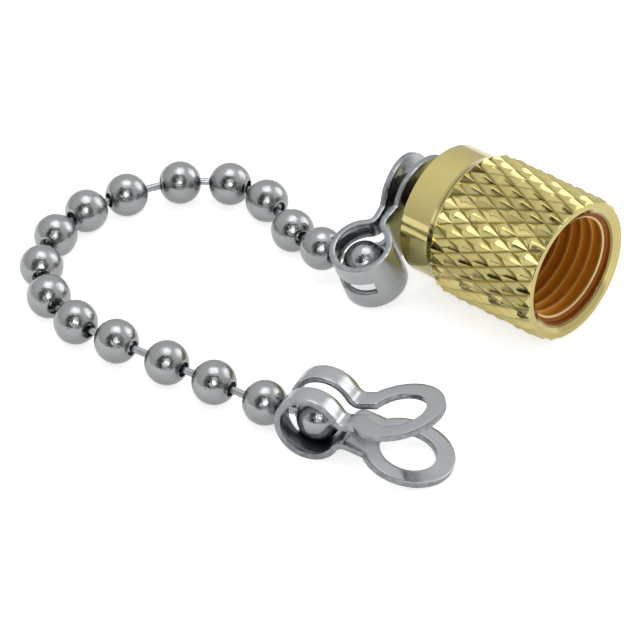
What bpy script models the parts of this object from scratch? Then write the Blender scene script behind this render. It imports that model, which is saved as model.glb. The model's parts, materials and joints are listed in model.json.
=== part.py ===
"""Dust cap for a small threaded coaxial connector, on a bead chain with a clasp at each end.

Blender 4.5 script. Run it with blender --background --python part.py or from the text editor.
The cap lies on its knurl with its axis along X and its mouth at +X, Z is up, and the floor
is Z = 0. Driving sizes are in millimetres; meshes are made in metres.
"""

import math

import bmesh
import bpy
from mathutils import Matrix, Vector

MM = 0.001
MERGE = 1e-6

# Knurled cap, turned and bored from one brass bar; X = 0 is its front face
CAP_TIP_R = 4.15
KNURL_DEPTH = 0.30
KNURL_STARTS = 28
KNURL_ROWS = 6
KNURL_ROW = 1.00
KNURL_RUN_IN = 0.34
KNURL_RUN_OUT = 0.57
COLLAR_R = 4.05
COLLAR_WIDTH = 0.36
COLLAR_EDGE = 0.12
CONE_R = 4.00
CONE_LENGTH = 0.85
SHOULDER_R = 3.68
SHOULDER_LENGTH = 1.88
EDGE_BREAK = 0.08
MOUTH_R = 3.18
MOUTH_RELIEF = 0.55
BORE_R = 2.94
BORE_DEPTH = 6.60
DRILL_POINT = 0.70

# Riveted stem behind the cap, which carries the first clasp
STEM_R = 0.90
HEAD_R = 1.62
HEAD_THICKNESS = 0.26
HEAD_DOME = 0.12

# Clasp, stamped from strip and folded round a bead
STRIP = 0.35
STRIP_WIDTH = 3.26
RING_R = 2.48
RING_HOLE_R = 1.50
SLOT_WIDTH = 0.90
CLASP_REACH = 4.92
SLOTTED_LEAF_SHORT = 0.32
BARREL_BORE_R = 1.42
NECK_ANGLE = 23.0
NECK_BEND_R = 0.60
LEAF_SPLAY = 5.5
SLOT_PAST_BACK = 46.0
SPRUNG_OPEN = 8.0

# Hollow beads and the dumb-bell pins that link them
BEAD_R = 1.20
BEAD_WALL = 0.22
BEAD_HOLE_R = 0.40
BEAD_SIDES = 16
PIVOT_FROM_CENTRE = 0.66
PIN_R = 0.19
PIN_HEAD_R = 0.46
PIN_HEAD_BACK = 0.10
PIN_BETWEEN_HEADS = 2.05
PIN_SIDES = 10

# Play between pieces
RING_TO_HEAD = 1.10
BEAD_PLAY = 0.02
FLOOR_PLAY = 0.005

# How the first clasp hangs: its barrel's centre from above, and the way from there to its rings
CLASP_A_BARREL = (-10.36, -4.62)
CLASP_A_LEAN = -5.8
CLASP_A_RISE = 24.2

# How the loose chain lies: step between bead centres and its heading from above, in degrees
FIRST_LOOSE_BEAD = (-13.61, -4.77, 1.82)
CHAIN_STEPS = (
    (3.19, 162.5), (3.30, 157.6), (2.70, 182.4), (2.80, 218.9), (3.20, 245.1),
    (2.70, 258.5), (2.90, 279.1), (3.07, 300.4), (2.90, 322.7), (2.89, 344.6),
    (2.84, 363.7), (3.35, 366.1), (3.07, 366.9), (3.22, 367.9),
)
CLASP_B_BARREL = (-3.65, -16.10)
CLASP_B_HEADING = 19.0

# Derived sizes
FIRST_ROW = -(COLLAR_WIDTH + KNURL_RUN_IN)
KNURL_BACK = FIRST_ROW - (KNURL_ROWS - 1) * KNURL_ROW - KNURL_RUN_OUT
SHOULDER_FRONT = KNURL_BACK - CONE_LENGTH
CAP_BACK = SHOULDER_FRONT - SHOULDER_LENGTH
CAP_AXIS_Z = CAP_TIP_R
RINGS_MIDDLE = CLASP_A_BARREL[0] + CLASP_REACH * math.sin(math.radians(CLASP_A_LEAN))
HEAD_FRONT = RINGS_MIDDLE - RING_TO_HEAD
HEAD_BACK = HEAD_FRONT - HEAD_THICKNESS
BARREL_MID_R = BARREL_BORE_R + STRIP / 2
CLOSED_WRAP = 180.0 - NECK_ANGLE
SPRUNG_MID_R = BARREL_MID_R * CLOSED_WRAP / (CLOSED_WRAP - SPRUNG_OPEN)

BRASS = ("gold_plated_brass", (0.72, 0.60, 0.28, 1.0), 0.24, 1.0)
STEEL = ("stainless_strip", (0.56, 0.57, 0.59, 1.0), 0.22, 1.0)
PLATED = ("nickel_plated_bead", (0.60, 0.62, 0.64, 1.0), 0.14, 1.0)
PIN_STEEL = ("steel_pin", (0.50, 0.51, 0.52, 1.0), 0.28, 1.0)

worlds = {}


def clear_scene():
    """Remove every object, so that the script can be run again in the same file."""
    for found in list(bpy.data.objects):
        bpy.data.objects.remove(found, do_unlink=True)


def principled(name, look):
    """A material of the node's own: base colour, roughness and metallic value."""
    base, colour, roughness, metallic = look
    material = bpy.data.materials.new(f"{base}_{name}")
    material.use_nodes = True
    shader = material.node_tree.nodes["Principled BSDF"]
    shader.inputs["Base Color"].default_value = colour
    shader.inputs["Roughness"].default_value = roughness
    shader.inputs["Metallic"].default_value = metallic
    return material


def pivot(name, world, parent=None):
    """An empty on a joint's axis, under the pivot of the body that carries it."""
    empty = bpy.data.objects.new(name, None)
    bpy.context.collection.objects.link(empty)
    empty.empty_display_size = BEAD_R * MM
    worlds[name] = world
    if parent is None:
        empty.matrix_basis = world
    else:
        empty.parent = bpy.data.objects[parent]
        empty.matrix_basis = worlds[parent].inverted() @ world
    return empty


def solid(name, mesh, look, parent, offset=(0.0, 0.0, 0.0)):
    """A named sub-part under its pivot, moved off it by an offset in millimetres."""
    body = bpy.data.objects.new(name, mesh)
    bpy.context.collection.objects.link(body)
    body.parent = bpy.data.objects[parent]
    body.location = Vector(offset) * MM
    mesh.materials.clear()
    mesh.materials.append(principled(name, look))
    return body


def frame(origin, x_axis, y_hint):
    """World matrix with its origin in millimetres, X along x_axis and Y towards y_hint."""
    x = Vector(x_axis).normalized()
    z = x.cross(Vector(y_hint)).normalized()
    y = z.cross(x)
    turn = Matrix((x, y, z)).transposed().to_4x4()
    return Matrix.Translation(Vector(origin) * MM) @ turn


def finish(bm, name):
    """Weld, face the skin outwards and hand over a mesh in metres."""
    bmesh.ops.scale(bm, vec=(MM, MM, MM), verts=bm.verts)
    bmesh.ops.remove_doubles(bm, verts=bm.verts, dist=MERGE)
    bmesh.ops.recalc_face_normals(bm, faces=bm.faces)
    mesh = bpy.data.meshes.new(name)
    bm.to_mesh(mesh)
    bm.free()
    return mesh


def turned(name, profile, sides, closed=False):
    """Turn a profile of (x, radius) points about the X axis."""
    bm = bmesh.new()
    points = [bm.verts.new((x, 0.0, r)) for x, r in profile]
    pairs = list(zip(points, points[1:]))
    if closed:
        pairs.append((points[-1], points[0]))
    edges = [bm.edges.new(pair) for pair in pairs]
    bmesh.ops.spin(
        bm,
        geom=points + edges,
        cent=(0.0, 0.0, 0.0),
        axis=(1.0, 0.0, 0.0),
        angle=2.0 * math.pi,
        steps=sides,
        use_merge=True,
    )
    return finish(bm, name)


# The cap: a ring of points for each station, joined in pairs, with the knurl's rows in between
def ring_of_points(bm, x, radii):
    """A ring of points round the cap's axis, one for each radius in turn."""
    ring = []
    for i, r in enumerate(radii):
        a = 2.0 * math.pi * i / len(radii)
        ring.append(bm.verts.new((x, r * math.sin(a), r * math.cos(a))))
    return ring


def join_rings(bm, one, other):
    """Quads between two rings of the same count."""
    n = len(one)
    for i in range(n):
        j = (i + 1) % n
        bm.faces.new((one[i], one[j], other[j], other[i]))


def join_knurl_rows(bm, one, other, row):
    """Triangles between two knurl rows, each pair split along the bottom of a groove."""
    n = len(one)
    for i in range(n):
        j = (i + 1) % n
        if (row + i) % 2 == 0:
            bm.faces.new((one[i], one[j], other[j]))
            bm.faces.new((one[i], other[j], other[i]))
        else:
            bm.faces.new((one[i], one[j], other[i]))
            bm.faces.new((one[j], other[j], other[i]))


def knurled_cap():
    """Front face, collar, diamond knurl, cone, shoulder, stem, head and bore in one skin."""
    sides = 2 * KNURL_STARTS
    bm = bmesh.new()
    face = ring_of_points(bm, 0.0, [COLLAR_R - COLLAR_EDGE] * sides)
    last = face
    for x in (-COLLAR_EDGE, -COLLAR_WIDTH):
        ring = ring_of_points(bm, x, [COLLAR_R] * sides)
        join_rings(bm, last, ring)
        last = ring
    for row in range(KNURL_ROWS):
        low, high = CAP_TIP_R - KNURL_DEPTH, CAP_TIP_R
        radii = [high if (row + i) % 2 == 0 else low for i in range(sides)]
        ring = ring_of_points(bm, FIRST_ROW - row * KNURL_ROW, radii)
        join_knurl_rows(bm, last, ring, row)
        last = ring
    ring = ring_of_points(bm, KNURL_BACK, [CONE_R] * sides)
    join_knurl_rows(bm, last, ring, KNURL_ROWS)
    last = ring

    outside = [
        (SHOULDER_FRONT, SHOULDER_R),
        (CAP_BACK + EDGE_BREAK, SHOULDER_R),
        (CAP_BACK, SHOULDER_R - EDGE_BREAK),
        (CAP_BACK, STEM_R),
        (HEAD_FRONT, STEM_R),
        (HEAD_FRONT, HEAD_R),
        (HEAD_BACK + HEAD_DOME, HEAD_R),
        (HEAD_BACK, HEAD_R * 0.72),
    ]
    for x, r in outside:
        ring = ring_of_points(bm, x, [r] * sides)
        join_rings(bm, last, ring)
        last = ring
    bm.faces.new(last)

    inside = [
        (0.0, MOUTH_R),
        (-MOUTH_RELIEF, MOUTH_R),
        (-MOUTH_RELIEF - (MOUTH_R - BORE_R), BORE_R),
        (-BORE_DEPTH, BORE_R),
        (-BORE_DEPTH - DRILL_POINT, BORE_R * 0.30),
    ]
    last = face
    for x, r in inside:
        ring = ring_of_points(bm, x, [r] * sides)
        join_rings(bm, last, ring)
        last = ring
    bm.faces.new(last)
    return finish(bm, "cap_body")


# The clasps: half of the flat blank is laid out, bent along its path, mirrored and thickened
def bent_path(open_by, barrel_r):
    """Segments of one half of the strip, from the barrel's back: (length, turn in radians)."""
    wrap = math.radians(CLOSED_WRAP - open_by)
    neck_turn = math.radians(90.0 - NECK_ANGLE + LEAF_SPLAY)
    return [(barrel_r * wrap, -wrap), (NECK_BEND_R * neck_turn, neck_turn)]


def along(path, barrel_r, s):
    """Point and heading at a distance s from the barrel's back; past the bends it runs straight."""
    x, y, heading = -barrel_r, 0.0, math.pi / 2
    for length, turn in path + [(math.inf, 0.0)]:
        part = min(s, length)
        if turn:
            r = length / turn
            done = part / r
            x += r * (math.sin(heading + done) - math.sin(heading))
            y += r * (math.cos(heading) - math.cos(heading + done))
            heading += done
        else:
            x += part * math.cos(heading)
            y += part * math.sin(heading)
        s -= part
        if s <= 0.0:
            break
    return x, y, heading


def stations(lengths, counts, start=0.0):
    """Distances along a path, each segment cut into its own count of steps."""
    out = [start]
    for length, count in zip(lengths, counts):
        first = out[-1]
        out += [first + length * (k + 1) / count for k in range(count)]
    return out


def ring_row(centre, k, steps, slotted):
    """A row across the ring, from the hole to the rim: flat (s, t) points of the blank."""
    half_slot = SLOT_WIDTH / 2
    rim_from = math.asin(STRIP_WIDTH / 2 / RING_R)
    hole_from = math.asin(half_slot / RING_HOLE_R) if slotted else 0.0
    rim = rim_from + (math.pi - rim_from) * k / steps
    hole = hole_from + (math.pi - hole_from) * k / steps
    inner = (centre - RING_HOLE_R * math.cos(hole), RING_HOLE_R * math.sin(hole))
    outer = (centre - RING_R * math.cos(rim), RING_R * math.sin(rim))
    if slotted:
        return [inner, outer]
    share = (SLOT_WIDTH / STRIP_WIDTH) * (1.0 - 0.3 * k / steps)
    middle = tuple(a + (b - a) * share for a, b in zip(inner, outer))
    return [inner, middle, outer]


def ring_station():
    """Length of strip from the barrel's back to the middle of a ring, the same sprung or closed."""
    path = bent_path(0.0, BARREL_MID_R)
    length = sum(part for part, _ in path)
    x_end, _, heading = along(path, BARREL_MID_R, length)
    return length + (CLASP_REACH - x_end) / math.cos(heading)


def folded_clasp(name, open_by, barrel_r):
    """One clasp: slotted leaf on +Y, plain leaf on -Y, rings towards +X, strip width along Z."""
    path = bent_path(open_by, barrel_r)
    lengths = [length for length, _ in path]
    neck_to_centre = math.sqrt(RING_R**2 - (STRIP_WIDTH / 2) ** 2) + 0.12
    half_slot, half_width = SLOT_WIDTH / 2, STRIP_WIDTH / 2
    slot_from = -barrel_r * math.radians(SLOT_PAST_BACK)
    ring_steps = 11

    def bends(start, centre, steps):
        """Stations on one leaf from start to the neck's end, counted from the barrel's back."""
        first = stations([lengths[0] - start], [steps], start)
        rest = stations(lengths[1:], [4], first[-1])
        return first + rest[1:] + [centre - neck_to_centre]

    bm = bmesh.new()

    def row(points, sign):
        made = []
        for s, t in points:
            x, y, _ = along(path, barrel_r, abs(s)) if s >= 0 else (0, 0, 0)
            made.append(bm.verts.new((x, sign * y, t)))
        return made

    def skin(rows):
        for one, other in zip(rows, rows[1:]):
            for i in range(len(one) - 1):
                bm.faces.new((one[i], one[i + 1], other[i + 1], other[i]))

    centre = ring_station()
    wrapped = bends(-slot_from, centre, 7)
    plain = [row([(s, 0.0), (s, half_slot), (s, half_width)], -1) for s in wrapped]
    plain += [row(ring_row(centre, k, ring_steps, False), -1) for k in range(ring_steps + 1)]
    skin(plain)

    behind = [-slot_from * (1.0 - k / 2) for k in range(3)]
    slotted = [row([(s, half_slot), (s, half_width)], -1) for s in behind]
    centre -= SLOTTED_LEAF_SHORT
    slotted += [row([(s, half_slot), (s, half_width)], 1) for s in bends(0.0, centre, 9)]
    slotted += [row(ring_row(centre, k, ring_steps, True), 1) for k in range(ring_steps + 1)]
    skin(slotted)

    mesh = finish(bm, name)
    clasp = bpy.data.objects.new(name, mesh)
    bpy.context.collection.objects.link(clasp)
    mirror = clasp.modifiers.new("other_half", "MIRROR")
    mirror.use_axis = (False, False, True)
    mirror.use_clip = True
    mirror.merge_threshold = MERGE
    gauge = clasp.modifiers.new("strip_gauge", "SOLIDIFY")
    gauge.thickness = STRIP * MM
    gauge.offset = 0.0
    gauge.use_even_offset = True
    return clasp


def spherical(radius, from_x, to_x, count):
    """Profile points (x, radius) on a sphere between two planes across its axis."""
    first, last = math.acos(from_x / radius), math.acos(to_x / radius)
    out = []
    for k in range(count + 1):
        a = first + (last - first) * k / count
        out.append((radius * math.cos(a), radius * math.sin(a)))
    return out


def hollow_bead(name):
    """A rolled bead: thin spherical wall with a hole at each end of its X axis."""
    inner_r = BEAD_R - BEAD_WALL
    outer_x = math.sqrt(BEAD_R**2 - BEAD_HOLE_R**2)
    inner_x = math.sqrt(inner_r**2 - BEAD_HOLE_R**2)
    profile = spherical(BEAD_R, outer_x, -outer_x, 7)
    profile += spherical(inner_r, -inner_x, inner_x, 3)
    return turned(name, profile, BEAD_SIDES, closed=True)


def dumb_bell_pin(name):
    """A pin with a ball-backed head at each end, centred on its length."""
    half = PIN_BETWEEN_HEADS / 2
    meet = math.sqrt(PIN_HEAD_R**2 - PIN_R**2)
    back_r = math.sqrt(PIN_HEAD_R**2 - PIN_HEAD_BACK**2)
    head = [
        (half + PIN_HEAD_BACK, 0.0),
        (half + PIN_HEAD_BACK, back_r),
        (half - PIN_HEAD_R * 0.55, PIN_HEAD_R * 0.835),
        (half - meet, PIN_R),
    ]
    return turned(name, head + [(-x, r) for x, r in reversed(head)], PIN_SIDES)


def main():
    clear_scene()
    up = Vector((0.0, 0.0, 1.0))

    # Cap
    pivot("cap_axis", Matrix.Translation(Vector((0.0, 0.0, CAP_AXIS_Z)) * MM))
    solid("cap_body", knurled_cap(), BRASS, "cap_axis")

    # First clasp, on the stem, with the free edge of its barrel on the floor
    lean, rise = math.radians(CLASP_A_LEAN), math.radians(CLASP_A_RISE)
    across = math.cos(lean)
    a_axis = Vector((math.sin(lean), across * math.cos(rise), across * math.sin(rise)))
    width_a = a_axis.cross(Vector((-1.0, 0.0, 0.0))).normalized()
    standing = (BARREL_MID_R + STRIP / 2) * math.sqrt(1.0 - width_a.z**2)
    standing += STRIP_WIDTH / 2 * abs(width_a.z) + FLOOR_PLAY
    barrel_a = Vector((*CLASP_A_BARREL, standing))
    seat = Vector((RINGS_MIDDLE, 0.0, CAP_AXIS_Z))
    pivot("clasp_on_stem", Matrix.Translation(seat * MM), "cap_axis")
    clasp_a = folded_clasp("clasp_cap_end", 0.0, BARREL_MID_R)
    clasp_a.parent = bpy.data.objects["clasp_on_stem"]
    hang = frame(barrel_a, a_axis, (-1.0, 0.0, 0.0))
    clasp_a.matrix_basis = worlds["clasp_on_stem"].inverted() @ hang
    clasp_a.data.materials.append(principled("clasp_cap_end", STEEL))

    # Bead centres
    loose = [Vector(FIRST_LOOSE_BEAD)]
    for step, heading in CHAIN_STEPS:
        here = loose[-1]
        fall = BEAD_R - here.z
        flat = math.sqrt(step**2 - fall**2)
        a = math.radians(heading)
        loose.append(here + Vector((flat * math.cos(a), flat * math.sin(a), fall)))
    heading = math.radians(CLASP_B_HEADING)
    b_axis = Vector((math.cos(heading), math.sin(heading), 0.0))
    barrel_b = Vector((*CLASP_B_BARREL, SPRUNG_MID_R + STRIP / 2))
    pull = loose[0] - barrel_a
    pull -= width_a * pull.dot(width_a)
    first = barrel_a + pull.normalized() * (BARREL_BORE_R - BEAD_R - BEAD_PLAY)
    sink = SPRUNG_MID_R - STRIP / 2 - BEAD_R - BEAD_PLAY
    final = barrel_b - up * sink
    centres = [first, *loose, final]

    # Each bead's axis lies halfway between the links on its two sides
    links = [(b - a).normalized() for a, b in zip(centres, centres[1:])]
    axes = [(before + after).normalized() for before, after in zip(links, links[1:])]
    axes = [links[0], *axes, links[-1]]

    pivot("bead_in_clasp", frame(barrel_a, axes[0], width_a), "clasp_on_stem")
    shift = worlds["bead_in_clasp"].inverted() @ (centres[0] * MM) / MM
    solid("bead_01", hollow_bead("bead_01"), PLATED, "bead_in_clasp", shift)
    carrier = "bead_in_clasp"
    for number, (centre, axis) in enumerate(zip(centres[1:], axes[1:]), start=1):
        leaves = centres[number - 1] + axes[number - 1] * PIVOT_FROM_CENTRE
        enters = centre - axis * PIVOT_FROM_CENTRE
        along_pin = enters - leaves
        pin, bead = f"pin_{number:02d}", f"bead_{number + 1:02d}"
        pin_pivot, bead_pivot = f"{pin}_seat", f"{bead}_seat"
        pivot(pin_pivot, frame(leaves, along_pin, up), carrier)
        middle = (along_pin.length / 2, 0.0, 0.0)
        solid(pin, dumb_bell_pin(pin), PIN_STEEL, pin_pivot, middle)
        pivot(bead_pivot, frame(enters, axis, up), pin_pivot)
        solid(bead, hollow_bead(bead), PLATED, bead_pivot, (PIVOT_FROM_CENTRE, 0.0, 0.0))
        carrier = bead_pivot

    # Free clasp, sprung open, lying on its barrel and the tip of its lower ring
    tip = ring_station() + RING_R
    x, y, slope = along(bent_path(SPRUNG_OPEN, SPRUNG_MID_R), SPRUNG_MID_R, tip)
    x -= STRIP / 2 * math.sin(slope)
    y += STRIP / 2 * math.cos(slope)
    level = math.atan2(y, x) - math.asin((barrel_b.z - FLOOR_PLAY) / math.hypot(x, y))
    lying = Vector((math.cos(level) * b_axis.x, math.cos(level) * b_axis.y, math.sin(level)))
    pivot("clasp_round_bead", frame(barrel_b, lying, up), carrier)
    clasp_b = folded_clasp("clasp_free_end", SPRUNG_OPEN, SPRUNG_MID_R)
    clasp_b.parent = bpy.data.objects["clasp_round_bead"]
    clasp_b.data.materials.append(principled("clasp_free_end", STEEL))

    # Set the origin under the middle of the whole object
    bpy.context.view_layer.update()
    graph = bpy.context.evaluated_depsgraph_get()
    low, high = [math.inf] * 3, [-math.inf] * 3
    for body in bpy.data.objects:
        if body.type == "MESH":
            built = body.evaluated_get(graph)
            for vertex in built.data.vertices:
                point = built.matrix_world @ vertex.co
                low = [min(a, b) for a, b in zip(low, point)]
                high = [max(a, b) for a, b in zip(high, point)]
    cap_axis = bpy.data.objects["cap_axis"]
    cap_axis.location -= Vector(((low[0] + high[0]) / 2, (low[1] + high[1]) / 2, low[2]))
    bpy.context.view_layer.update()


main()
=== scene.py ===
"""Looks for a knurled dust cap on its bead chain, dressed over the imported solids.

The cap is knurled, chamfered and tapped by boolean cuts from a Geometry Nodes knurl, a turned
envelope and a helical tap. Beads and pins are turned by one Geometry Nodes lathe and set on the
packed joints. Both clasps are bent from a flat blank. Sizes are in millimetres until a mesh is
finished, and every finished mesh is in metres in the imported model's frame.
"""

import json
import logging
import math
from dataclasses import dataclass, field
from enum import Enum
from typing import Any, ClassVar, Sequence

import bmesh  # noqa: E402
import bpy  # noqa: E402
from mathutils import Matrix, Vector  # noqa: E402

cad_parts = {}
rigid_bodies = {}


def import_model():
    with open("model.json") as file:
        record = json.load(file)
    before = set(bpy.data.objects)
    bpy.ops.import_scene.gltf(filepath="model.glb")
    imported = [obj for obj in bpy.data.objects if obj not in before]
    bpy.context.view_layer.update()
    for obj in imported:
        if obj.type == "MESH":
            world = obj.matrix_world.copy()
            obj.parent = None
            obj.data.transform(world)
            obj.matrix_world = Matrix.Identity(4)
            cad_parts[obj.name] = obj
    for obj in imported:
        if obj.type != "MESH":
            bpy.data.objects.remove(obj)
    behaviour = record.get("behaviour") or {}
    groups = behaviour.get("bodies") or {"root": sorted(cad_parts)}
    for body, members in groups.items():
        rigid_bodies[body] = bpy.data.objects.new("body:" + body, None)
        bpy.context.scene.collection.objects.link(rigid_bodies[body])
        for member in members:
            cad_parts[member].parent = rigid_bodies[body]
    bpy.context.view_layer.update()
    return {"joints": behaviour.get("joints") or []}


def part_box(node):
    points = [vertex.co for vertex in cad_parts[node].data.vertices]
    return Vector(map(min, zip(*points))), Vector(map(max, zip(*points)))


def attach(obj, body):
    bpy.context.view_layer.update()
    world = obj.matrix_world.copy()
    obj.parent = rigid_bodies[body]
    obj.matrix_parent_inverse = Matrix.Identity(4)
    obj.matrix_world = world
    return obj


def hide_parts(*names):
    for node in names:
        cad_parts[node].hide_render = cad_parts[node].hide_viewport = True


MM = 0.001
# Points nearer than this are one point: in a finished mesh in metres, and in a seam in mm.
WELD = 2e-7
SEAM_WELD = 0.002
Point = tuple[float, float]
Colour = tuple[float, float, float, float]
WHITE: Colour = (1.0, 1.0, 1.0, 1.0)
log = logging.getLogger("dust_cap")


def linear(hex_colour: str) -> Colour:
    """Turn an sRGB hex value into the linear colour that a socket takes.

    Args:
        hex_colour: Six hex digits, with no leading sign.

    Returns:
        Red, green, blue and an alpha of 1.
    """
    out = []
    for start in (0, 2, 4):
        c = int(hex_colour[start : start + 2], 16) / 255.0
        out.append(c / 12.92 if c <= 0.04045 else ((c + 0.055) / 1.055) ** 2.4)
    return (out[0], out[1], out[2], 1.0)


def add_node(
    tree: bpy.types.NodeTree,
    kind: str,
    settings: dict[str, Any] | None = None,
    inputs: dict[str | int, Any] | None = None,
) -> bpy.types.Node:
    """Add a node, set its properties, and fill or link its inputs.

    Args:
        tree: Node tree that gets the node.
        kind: Blender's identifier of the node type.
        settings: Properties of the node by name.
        inputs: Values or output sockets by the input's name or index.

    Returns:
        The new node.
    """
    node = tree.nodes.new(kind)
    for name, value in (settings or {}).items():
        setattr(node, name, value)
    for key, value in (inputs or {}).items():
        if isinstance(value, bpy.types.NodeSocket):
            tree.links.new(value, node.inputs[key])
        else:
            node.inputs[key].default_value = value
    return node


def linked(name: str, mesh: bpy.types.Mesh) -> bpy.types.Object:
    """Show a mesh as an object at the origin.

    Args:
        name: Name of the object.
        mesh: Its mesh.

    Returns:
        The new object, in the scene.
    """
    made = bpy.data.objects.new(name, mesh)
    bpy.context.collection.objects.link(made)
    return made


def mesh_object(name: str, bm: bmesh.types.BMesh) -> bpy.types.Object:
    """Hand over a bmesh as an object and free it.

    Args:
        name: Name of the object and its mesh.
        bm: The mesh under work.

    Returns:
        The new object, in the scene.
    """
    mesh = bpy.data.meshes.new(name)
    bm.to_mesh(mesh)
    bm.free()
    return linked(name, mesh)


def baked(source: bpy.types.Object, name: str) -> bpy.types.Object:
    """Turn an object with live modifiers into a plain mesh object.

    Args:
        source: Object whose evaluated shape is kept. It is removed.
        name: Name of the plain object.

    Returns:
        The plain object, with no modifiers.
    """
    graph = bpy.context.evaluated_depsgraph_get()
    mesh = bpy.data.meshes.new_from_object(source.evaluated_get(graph))
    mesh.name = name
    bpy.data.objects.remove(source, do_unlink=True)
    return linked(name, mesh)


def close_ends(bm: bmesh.types.BMesh) -> None:
    """Close each open end of a tube along X with a fan to a point on the axis.

    Args:
        bm: The tube, which has no other open edges.
    """
    ends: dict[bool, list[bmesh.types.BMEdge]] = {True: [], False: []}
    middle = sum(vert.co.x for vert in bm.verts) / len(bm.verts)
    for edge in [edge for edge in bm.edges if edge.is_boundary]:
        ends[edge.verts[0].co.x > middle].append(edge)
    for edges in ends.values():
        x = sum(edge.verts[0].co.x for edge in edges) / max(1, len(edges))
        hub = bm.verts.new((x, 0.0, 0.0))
        for edge in edges:
            bm.faces.new((edge.verts[0], edge.verts[1], hub))


def face_out(target: bpy.types.Object, weld: float = WELD, open_tube: bool = False) -> None:
    """Weld a mesh, close it where it is a tube, and turn its faces outwards.

    Args:
        target: Object whose mesh is mended.
        weld: Distance up to which points are made one, in the mesh's own unit.
        open_tube: Whether the mesh is a tube along X with both ends open.
    """
    bm = bmesh.new()
    bm.from_mesh(target.data)
    bmesh.ops.remove_doubles(bm, verts=bm.verts, dist=weld)
    if open_tube:
        close_ends(bm)
    bmesh.ops.recalc_face_normals(bm, faces=bm.faces)
    bm.to_mesh(target.data)
    bm.free()


def smooth(target: bpy.types.Object, sharp_over: float) -> None:
    """Shade smooth, but keep edges sharper than an angle in degrees."""
    target.data.shade_smooth()
    target.data.set_sharp_from_angle(angle=math.radians(sharp_over))


class Wear(Enum):
    """How the surface of a metal was left, as how far its roughness spreads."""

    PLATED = 0.05
    TUMBLED = 0.10
    DRAWN = 0.08
    SHEARED = 0.12


@dataclass(frozen=True)
class MetalFinish:
    """A bare or plated metal, with marks at real sizes.

    Attributes:
        name: Common name of the metal and how it was made.
        bright: sRGB hex of the clean metal.
        dull: sRGB hex where it is handled or thinly plated.
        roughness: Roughness of the clean metal.
        wear: How the surface was left.
        patch_mm: Size of the cloudy patches.
        mark_mm: Size of the fine marks.
        mark_height: Height of the fine marks as a bump, in metres.
        cloud_span: Values of a noise between which the gloss changes.
        glossiest: Lowest roughness.
        scratch_turn, scratch_stretch: How a noise is turned and drawn out into scratches.
    """

    cloud_span: ClassVar[Point] = (0.35, 0.65)
    glossiest: ClassVar[float] = 0.02
    scratch_turn: ClassVar[tuple[float, float, float]] = (0.4, 0.9, 0.5)
    scratch_stretch: ClassVar[tuple[float, float, float]] = (1.0, 0.12, 1.0)

    name: str
    bright: str
    dull: str
    roughness: float
    wear: Wear
    patch_mm: float
    mark_mm: float
    mark_height: float

    def build(self) -> bpy.types.Material:
        """Make the material: cloudy colour, uneven gloss and fine marks.

        Returns:
            The material, read from Object coordinates.
        """
        material = bpy.data.materials.new(self.name)
        material.use_nodes = True
        tree = material.node_tree
        shader = tree.nodes["Principled BSDF"]
        shader.inputs["Metallic"].default_value = 1.0
        place = add_node(tree, "ShaderNodeTexCoord").outputs["Object"]
        cloud = add_node(
            tree,
            "ShaderNodeTexNoise",
            inputs={"Vector": place, "Scale": 1.0 / (self.patch_mm * MM), "Detail": 3.0},
        )
        blend = add_node(
            tree,
            "ShaderNodeMix",
            {"data_type": "RGBA"},
            {0: cloud.outputs["Fac"], 6: linear(self.bright), 7: linear(self.dull)},
        )
        tree.links.new(blend.outputs[2], shader.inputs["Base Color"])
        spread = self.wear.value
        gloss = add_node(
            tree,
            "ShaderNodeMapRange",
            inputs={
                "Value": cloud.outputs["Fac"],
                "From Min": self.cloud_span[0],
                "From Max": self.cloud_span[1],
                "To Min": max(self.glossiest, self.roughness - spread),
                "To Max": self.roughness + spread,
            },
        )
        tree.links.new(gloss.outputs["Result"], shader.inputs["Roughness"])
        marks = self.marks(tree, place)
        bump = add_node(
            tree,
            "ShaderNodeBump",
            inputs={"Height": marks, "Distance": self.mark_height, "Strength": 1.0},
        )
        tree.links.new(bump.outputs["Normal"], shader.inputs["Normal"])
        return material

    def marks(
        self, tree: bpy.types.NodeTree, place: bpy.types.NodeSocket
    ) -> bpy.types.NodeSocket:
        """Height of the fine marks: soft dimples, or short scratches on tumbled metal.

        Args:
            tree: Node tree of the material.
            place: Object coordinates.

        Returns:
            The height, about 0 to 1.
        """
        scale = 1.0 / (self.mark_mm * MM)
        if self.wear is not Wear.TUMBLED:
            dimples = add_node(
                tree,
                "ShaderNodeTexNoise",
                inputs={"Vector": place, "Scale": scale, "Detail": 2.0, "Roughness": 0.6},
            )
            return dimples.outputs["Fac"]
        turned = add_node(
            tree,
            "ShaderNodeMapping",
            inputs={
                "Vector": place,
                "Rotation": self.scratch_turn,
                "Scale": self.scratch_stretch,
            },
        )
        scratches = add_node(
            tree,
            "ShaderNodeTexNoise",
            inputs={"Vector": turned.outputs["Vector"], "Scale": scale, "Detail": 4.0},
        )
        return scratches.outputs["Fac"]


@dataclass(frozen=True)
class Zone:
    """A part of the cap, by its place from the mouth, with a look of its own, which in most zones
    is painted reflection, highlight or shade.

    Attributes:
        radius_mm: Radius up to which a surface belongs to the zone.
        near_mm: Where it starts, measured back from the mouth.
        far_mm: Where it ends.
        colour: sRGB hex.
        roughness: Roughness.
        metallic: Share that reflects as metal.
    """

    radius_mm: float
    near_mm: float
    far_mm: float
    colour: str
    roughness: float
    metallic: float


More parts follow.
